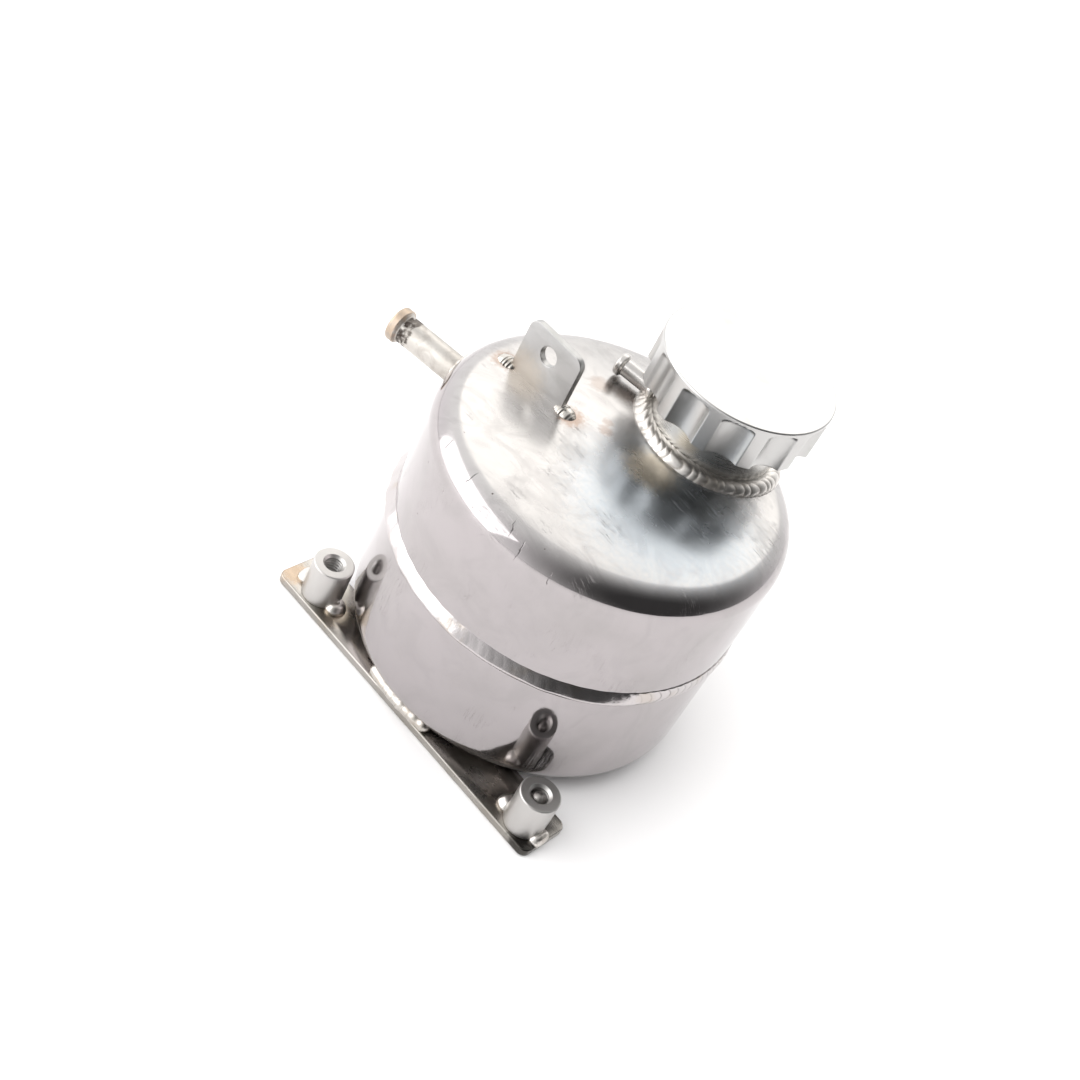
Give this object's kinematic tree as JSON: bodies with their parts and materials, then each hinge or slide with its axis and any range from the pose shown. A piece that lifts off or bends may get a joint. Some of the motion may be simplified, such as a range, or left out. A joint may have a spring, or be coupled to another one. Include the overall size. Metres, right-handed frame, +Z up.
{
  "type": "fluid reservoir",
  "caption": "Round welded aluminium fluid reservoir with a fluted screw cap, hose pipes, a vent nipple, a top tab and a foot plate with two threaded standoffs.",
  "frame": {"origin": "centre of the foot plate's underside, the face that is fastened down", "axes": "+Z up along the tank axis, +X along the foot plate, +Y from the foot plate towards the tank axis"},
  "size_m": [0.1266, 0.1239, 0.1057],
  "materials": {
    "polished_aluminium": "mirror polished by hand, faint scratches and pits",
    "machined_aluminium": "satin machined",
    "sheet_aluminium": "satin mill finish",
    "weld_metal": "bright rippled weld",
    "stained_aluminium": "polished, brown heat stains by the welds",
    "blackened_steel": "dull bright steel",
    "rubber": "matte black"
  },
  "bodies": {
    "tank": {"upper_shell": "polished_aluminium", "lower_shell": "polished_aluminium", "girth_weld": "weld_metal", "baffle_plate": "sheet_aluminium", "filler_neck": "machined_aluminium", "neck_weld": "weld_metal", "vent_nipple": "machined_aluminium", "vent_weld": "weld_metal", "return_pipe": "machined_aluminium", "return_pipe_weld": "weld_metal", "outlet_pipe": "machined_aluminium", "outlet_pipe_weld": "weld_metal", "top_tab": "sheet_aluminium", "tab_weld_left": "weld_metal", "tab_weld_right": "weld_metal", "foot_plate": "stained_aluminium", "foot_weld": "weld_metal", "standoff_left": "machined_aluminium", "standoff_tack_left_outer": "weld_metal", "standoff_tack_left_inner": "weld_metal", "standoff_right": "machined_aluminium", "standoff_tack_right_outer": "weld_metal", "standoff_tack_right_inner": "weld_metal", "set_screw_right": "blackened_steel"},
    "cap_seal": {"cap_gasket": "rubber"},
    "cap": {"screw_cap": "machined_aluminium"}
  },
  "joints": [
    {"name": "cap_lift", "type": "slide", "parent": "tank", "child": "cap_seal", "axis": [0, 0, 1], "range_m": [0, 0.012]},
    {"name": "cap_turn", "type": "hinge", "parent": "cap_seal", "child": "cap", "pos_m": [0.0047, 0.069, 0.1], "axis": [0, 0, 1], "range_deg": [0, 1080]}
  ],
  "couplings": [
    {"joint": "cap_lift", "follows": "cap_turn", "m_per_rad": 0.00063661}
  ]
}
